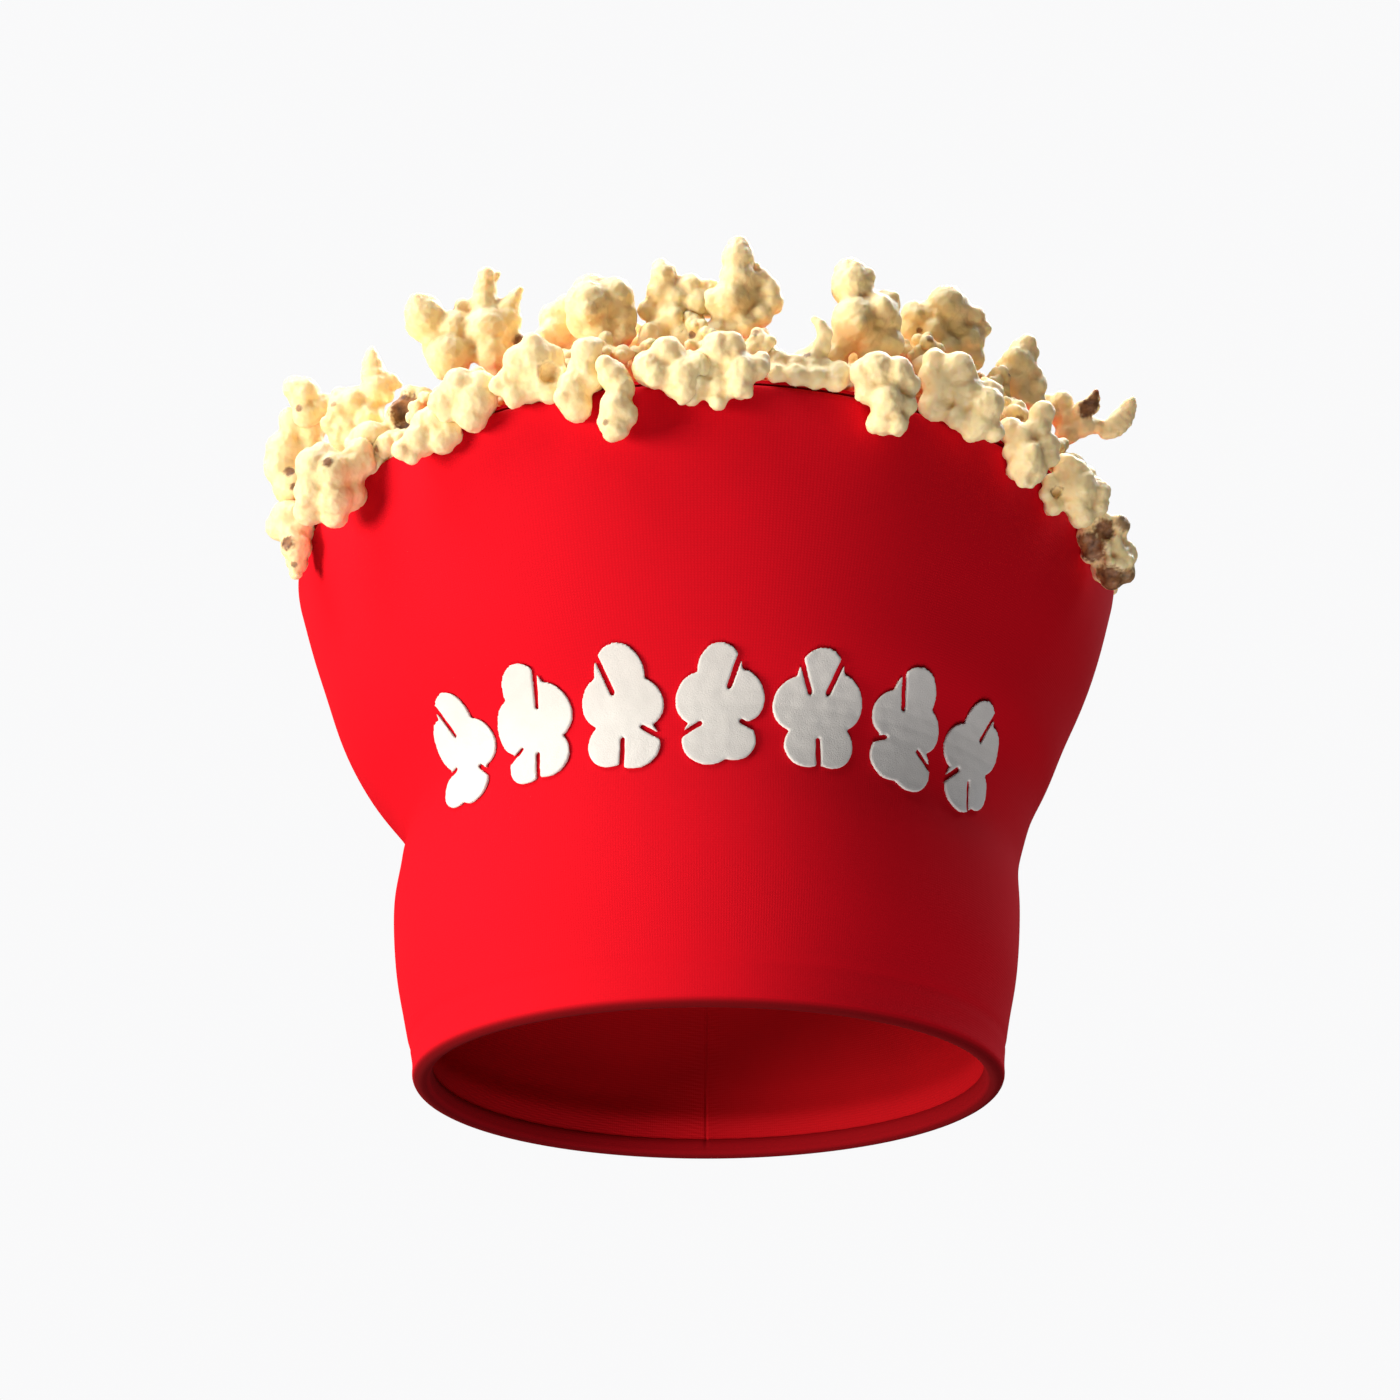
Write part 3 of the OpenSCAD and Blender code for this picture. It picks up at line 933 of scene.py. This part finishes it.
            (-8.8, 2.7, 0, 3.9), (-5.5, 6, 0, 3.3), (-3.8, 1, 0, 4.7), (1.2, -2.3, 0, 4.2),
            (6.2, -2.6, 0, 2.7), (-3.7, -5, 0, 4), (-10.4, 6, -1, 2.6),
        ],
        leaves=[
            (1, 2.2, 4, 3.4, (0.1, 0, 1), 0.4), (3.4, 3.6, 4, 3.2, (0.1, 0, 1), 0.4),
            (4.6, 6, 4, 2.2, (0.1, 0, 1), 0.5), (5.2, 8, 4, 1.3, (0.1, 0, 1), 0.6), (8.6, -4.6, 1, 3, *EAR),
            (10.2, -3.9, 1, 3.4, *EAR), (11.8, -2.9, 1, 3.8, *EAR), (13.4, -1.5, 1, 4, *EAR),
            (14.8, 0.1, 1, 3.9, *EAR), (15.9, 1.8, 1, 3.4, *EAR), (16.8, 3.4, 1, 2.8, *EAR),
            (17.5, 4.8, 1, 2.2, *EAR), (18, 6, 1, 1.6, *EAR),
        ],
        stains=[(2, 2.6, 3.2, 1), (4.2, 5, 2.4, 1), (5.2, 8, 1.6, 1), (9, 0.6, 1.6, 1)],
    ),
}


# A ball's axis and stretch when it is round, and the radius in mm above which it gets two buds, or a ball
# behind it
ROUND = ((0, 0, 1), 1.0)
BUDDED_R = 3.4
BACKED_R = 2.6


def with_buds(spec, rng):
    """A piece's balls, smaller ones sunk into the larger and one behind each, all swollen for closing."""
    out = []
    for across, up, near, r in spec["balls"]:
        centre = Picture.at(across, up, near + rng.uniform(-0.2, 0.35) * r) / MM
        out.append((centre, r + CLOSING, *ROUND))
        if r > BUDDED_R:
            for _ in range(2):
                way = Vector([rng.gauss(0, 1) for _ in range(3)]).normalized()
                out.append((centre + way * r * 0.6, r * rng.uniform(0.4, 0.58) + CLOSING, way, 1.1))
        if r > BACKED_R:
            out.append((centre - Picture.near * r * 0.9, r * 0.95 + CLOSING, *ROUND))
    return out


def join_leaves(obj, spec):
    """Adds a piece's thin leaves, which wouldn't outlast the closing."""
    leaves = [
        (Picture.at(across, up, near) / MM, r, Picture.at(*facing) / MM, flatness)
        for across, up, near, r, facing, flatness in spec.get("leaves", ())
    ]
    if not leaves:
        return
    bm = bmesh.new()
    bm.from_mesh(obj.data)
    bm.from_mesh(join_balls("leaves", leaves))
    bm.to_mesh(obj.data)
    bm.free()


def cut_pits(obj, spec):
    """Cuts a piece's pits, and gives back their middles, sizes and how brown they are."""
    pits = [
        (front_of(obj, across, up) + Picture.near * size * 0.35, size, brown)
        for across, up, size, brown in spec.get("pits", ())
    ]
    if pits:
        balls = [(middle, size, Picture.near, 1.3) for middle, size, _ in pits]
        cutter = bpy.data.objects.new("cutter", join_balls("cutter", balls))
        collection.objects.link(cutter)
        cut = obj.modifiers.new("pits", "BOOLEAN")
        cut.object = cutter
        cut.operation = "DIFFERENCE"
        cut.solver = "EXACT"
        apply_modifiers(obj)
        bpy.data.objects.remove(cutter)
        remesh(obj, FRONT_VOXEL, 4)
    return pits


def front_piece(number):
    """A glued piece on the front, shaped ball by ball, with its middle at the origin and in millimetres."""
    spec = FRONT[number]
    rng = random.Random(number)
    obj = bpy.data.objects.new(f"corn_{number:02d}", join_balls("corn", with_buds(spec, rng)))
    collection.objects.link(obj)
    # swollen balls run together, and shrinking them again leaves soft creases between
    remesh(obj, FRONT_VOXEL, 3)
    set_coordinates(obj.data, coordinates(obj.data) - coordinates(obj.data, "normal") * CLOSING)
    join_leaves(obj, spec)
    remesh(obj, FRONT_VOXEL, 2)
    pits = cut_pits(obj, spec)
    stains = [
        (front_of(obj, across, up), size, strength) for across, up, size, strength in spec.get("stains", ())
    ]
    skin(obj, number, rough=0.3, voxel=FRONT_VOXEL, shells=stains + pits, grain=9.0)
    return obj


VIEWER_SIDE = 60


def front_of(obj, across, up):
    """The point of a piece that the viewer sees at that place."""
    tree = tree_of(obj.data)
    start = Picture.at(across, up) / MM + Picture.near * VIEWER_SIDE
    hit = tree.ray_cast(start, -Picture.near)[0]
    return hit if hit is not None else Picture.at(across, up) / MM


def skin(obj, seed, rough, voxel, shells, grain):
    """Rough skin, and for each point how deep in a crease it lies and how much hull sticks to it."""
    mesh = obj.data
    co, no = coordinates(mesh), coordinates(mesh, "normal")
    off = Vector((seed * 1.7, 3.1, 0.4))

    def grains(size):
        return np.array([noise.noise(Vector(p) * size / grain + off) for p in co])

    co = co + no * (rough * (grains(4.5) + 0.5 * grains(10)))[:, None]
    set_coordinates(mesh, co)
    hull = np.zeros(len(co))
    for middle, size, strength in shells:
        away = np.linalg.norm(co - np.array(middle), axis=1) / size
        edge = 1.15 + 0.35 * grains(9)
        hull = np.maximum(hull, strength * np.clip((edge - away) / 0.35, 0, 1))
    edges = np.zeros(len(mesh.edges) * 2, int)
    mesh.edges.foreach_get("vertices", edges)
    edges = edges.reshape(-1, 2)
    soft = co
    for _ in range(6):
        soft = neighbour_mean(soft, edges)
    crease = ((soft - co) * coordinates(mesh, "normal")).sum(1) / voxel
    for _ in range(2):
        crease = neighbour_mean(crease, edges)
    for key, values in (("hull", hull), ("crease", crease)):
        mesh.attributes.new(key, "FLOAT", "POINT").data.foreach_set("value", values.astype(np.float32))
    mesh.shade_smooth()
    mesh.materials.clear()
    mesh.materials.append(corn_paint)


def any_kernel(seed, wings, reach, fat, buds, core):
    """A kernel shape of about radius 1 that pieces out of the viewer's sight share."""
    balls = burst(seed, wings, reach, fat, buds, core)
    obj = bpy.data.objects.new(f"kernel_{seed}", join_balls("kernel", balls))
    collection.objects.link(obj)
    remesh(obj, UNIT_VOXEL, 3)
    rng = random.Random(seed)
    stains = []
    for way in spread(rng, 2, 0.5):
        hit = max(obj.data.vertices, key=lambda v: way.dot(v.co.normalized()))
        stains.append((hit.co.copy(), 0.16, rng.uniform(0.5, 1)))
    skin(obj, seed, rough=0.02, voxel=UNIT_VOXEL, shells=stains, grain=1.0)
    mesh = obj.data
    bpy.data.objects.remove(obj)
    radius = float(np.percentile(np.linalg.norm(coordinates(mesh), axis=1), 98))
    mesh.transform(Matrix.Scale(1 / radius, 4))
    return mesh


SAME_PLACE = 1e-6
FEWEST_POINTS = 50


def solids_of(node):
    """Middle and half size of each separate solid in a CAD node."""
    bm = bmesh.new()
    bm.from_mesh(frame["nodes"][node].data)
    bmesh.ops.remove_doubles(bm, verts=bm.verts, dist=SAME_PLACE)
    bm.verts.ensure_lookup_table()
    seen, out = set(), []
    for first in bm.verts:
        if first.index in seen:
            continue
        stack, found = [first], []
        seen.add(first.index)
        while stack:
            here = stack.pop()
            found.append(here.co[:])
            for edge in here.link_edges:
                other = edge.other_vert(here)
                if other.index not in seen:
                    seen.add(other.index)
                    stack.append(other)
        if len(found) > FEWEST_POINTS:
            low, high = np.min(found, axis=0), np.max(found, axis=0)
            out.append((Vector((low + high) / 2), float((high - low).mean()) / 2))
    bm.free()
    return out


FULL_TURN = 6.28


def put(mesh, name, middle, half, rng, node, tone):
    """A copy of a shared kernel at a place, turned at random."""
    turn = Matrix.Identity(4)
    for axis in "ZXY":
        turn = turn @ Matrix.Rotation(rng.uniform(0, FULL_TURN), 4, axis)
    copy = mesh.copy()
    copy.transform(Matrix.Translation(middle) @ Matrix.Scale(half, 4) @ turn)
    place(copy, name, node, tone)


def place(mesh, name, node, tone):
    """Makes a mesh a piece of popcorn with how brown it is, and hides the CAD node that it stands for."""
    shade = mesh.attributes.new("tone", "FLOAT", "POINT")
    shade.data.foreach_set("value", np.full(len(mesh.vertices), tone, np.float32))
    obj = bpy.data.objects.new(name, mesh)
    collection.objects.link(obj)
    if node:
        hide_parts(node)


# Kernels that fill the gaps between the lower and the upper row: heading in degrees, then how far inside the
# rim, how high above it and radius, in mm
BETWEEN = [
    (-66, 3, 8, 9), (-57, 2, 12, 10), (-50, 3, 12, 9), (-43, 3, 4, 8), (-38, 5, 14, 9), (-31, 5, 15, 10),
    (-25, 6, 12, 9), (-19, 6, 14, 9), (-12, 5, 14, 9), (-6, 6, 14, 9), (0, 6, 15, 9), (6, 6, 13, 9),
    (17, 8, 10, 9), (24, 6, 14, 9), (30, 7, 18, 10), (37, 6, 15, 10), (43, 5, 16, 9), (49, 4, 12, 9),
    (55, 4, 10, 9), (61, 3, 4, 8), (-15, 14, 24, 9), (-2, 14, 26, 9), (30, 12, 30, 9), (42, 10, 28, 9),
]

# Shapes that the pieces out of the viewer's sight share: seed, wings, reach, fat, buds and core
KERNELS = [
    (11, 6, 0.56, 0.36, 3, 0.40),
    (12, 5, 0.60, 0.40, 3, 0.42),
    (13, 7, 0.54, 0.33, 4, 0.42),
    (14, 9, 0.46, 0.38, 2, 0.50),
    (15, 6, 0.62, 0.34, 4, 0.38),
    (16, 8, 0.50, 0.34, 3, 0.45),
]
CLUMPS = 12


def make_front():
    """The pieces that the viewer sees on the front, each in its CAD node's place."""
    for number in FRONT:
        node = f"popcorn_{number:02d}"
        low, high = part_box(node)
        obj = front_piece(number)
        drop = Picture.at(0, -FRONT[number].get("drop", FRONT_DROP), 0)
        mesh = obj.data
        bpy.data.objects.remove(obj)
        mesh.transform(Matrix.Translation((low + high) / 2 + drop) @ Matrix.Scale(MM, 4))
        place(mesh, f"corn_{number:02d}", node, 0.0)


def make_rest():
    """The kernels between the front rows, and one kernel for each solid of the clumps and the heap."""
    rng = random.Random(5)
    kernels = [any_kernel(*shape) for shape in KERNELS]
    for i, (heading, inside, above, half) in enumerate(BETWEEN, 1):
        turn = math.radians(heading)
        radius = RIM_R - inside * MM
        middle = Vector((radius * math.sin(turn), -radius * math.cos(turn), RIM_Z + above * MM))
        kernel = rng.choice(kernels)
        put(kernel, f"corn_between_{i:02d}", middle, half * MM, rng, None, tone=rng.uniform(0, 0.12))
    clumps = [f"popcorn_clump_{k:02d}" for k in range(1, CLUMPS + 1)]
    for node in clumps + ["heap_outer_ring", "heap_middle"]:
        for i, (middle, half) in enumerate(solids_of(node), 1):
            kernel = rng.choice(kernels)
            swollen = half * rng.uniform(1.06, 1.16)
            put(kernel, f"{node}_corn_{i:02d}", middle, swollen, rng, node, tone=rng.uniform(-0.1, 0.12))


make_front()
make_rest()

# ---------------------------------------------------------------- the parts that don't show

HIDDEN = {
    "rim_hoop": hoop_paint,
    "crown_board": board_paint,
    "crown_pad": foam_paint,
    "crown_panel": red_cloth,
}
for node, material in HIDDEN.items():
    mesh = frame["nodes"][node].data
    mesh.materials.clear()
    mesh.materials.append(material)

for obj in list(collection.objects):
    if obj.type == "MESH" and "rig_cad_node" not in obj:
        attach(obj, BODY)

# ---------------------------------------------------------------- floor and light

FLOOR = 3
corners = [(-FLOOR, -FLOOR, 0), (FLOOR, -FLOOR, 0), (FLOOR, FLOOR, 0), (-FLOOR, FLOOR, 0)]
floor_mesh = bpy.data.meshes.new("floor")
floor_mesh.from_pydata(corners, [], [(0, 1, 2, 3)])
floor = bpy.data.objects.new("floor", floor_mesh)
collection.objects.link(floor)
# seen from below, the floor is clear, so that the viewer looks up through it
floor_paint = Paint("floor", (0.85, 0.85, 0.85), 0.9)
clear = floor_paint.add("ShaderNodeBsdfTransparent").outputs[0]
below = floor_paint.add("ShaderNodeNewGeometry").outputs["Backfacing"]
seen = floor_paint.add("ShaderNodeMixShader")
floor_paint.link(below, seen.inputs[0])
floor_paint.link(floor_paint.shader.outputs[0], seen.inputs[1])
floor_paint.link(clear, seen.inputs[2])
floor_paint.link(seen.outputs[0], floor_paint.tree.nodes["Material Output"].inputs["Surface"])
floor_mesh.materials.append(floor_paint.material)
floor.visible_shadow = False
floor.visible_diffuse = False
floor.visible_glossy = False


def area_light(name, place, target, size, power, color):
    data = bpy.data.lights.new(name, "AREA")
    data.shape = "DISK"
    data.size = size
    data.energy = power
    data.color = color
    obj = bpy.data.objects.new(name, data)
    collection.objects.link(obj)
    obj.location = place
    obj.rotation_euler = (Vector(target) - Vector(place)).to_track_quat("-Z", "Y").to_euler()


BAND = (0, 0, 0.1)
HEAP = (0, 0, 0.2)
area_light("key", (-1.28, -0.60, -0.18), BAND, size=0.7, power=27, color=(1.0, 0.93, 0.82))
area_light("under", (0.1, -0.55, -1.3), BAND, size=1.0, power=14, color=(1.0, 0.97, 0.97))
area_light("crown", (0.5, 0.25, 1.2), HEAP, size=1.0, power=30, color=(0.9, 0.97, 1.1))
area_light("top", (-0.5, -0.5, 1.15), HEAP, size=1.0, power=22, color=(0.97, 0.98, 1.0))

world = bpy.data.worlds.new("studio")
bpy.context.scene.world = world
world.use_nodes = True
nodes, links = world.node_tree.nodes, world.node_tree.links
nodes.clear()
path = nodes.new("ShaderNodeLightPath")
seen_light = nodes.new("ShaderNodeBackground")
seen_light.inputs["Color"].default_value = (0.95, 0.95, 0.955, 1)
seen_light.inputs["Strength"].default_value = 1.0
fill = nodes.new("ShaderNodeBackground")
fill.inputs["Color"].default_value = (0.93, 0.97, 1.0, 1)
fill.inputs["Strength"].default_value = 0.06
choose = nodes.new("ShaderNodeMixShader")
links.new(path.outputs["Is Camera Ray"], choose.inputs[0])
links.new(fill.outputs[0], choose.inputs[1])
links.new(seen_light.outputs[0], choose.inputs[2])
links.new(choose.outputs[0], nodes.new("ShaderNodeOutputWorld").inputs["Surface"])

bpy.context.scene.view_settings.view_transform = "Standard"
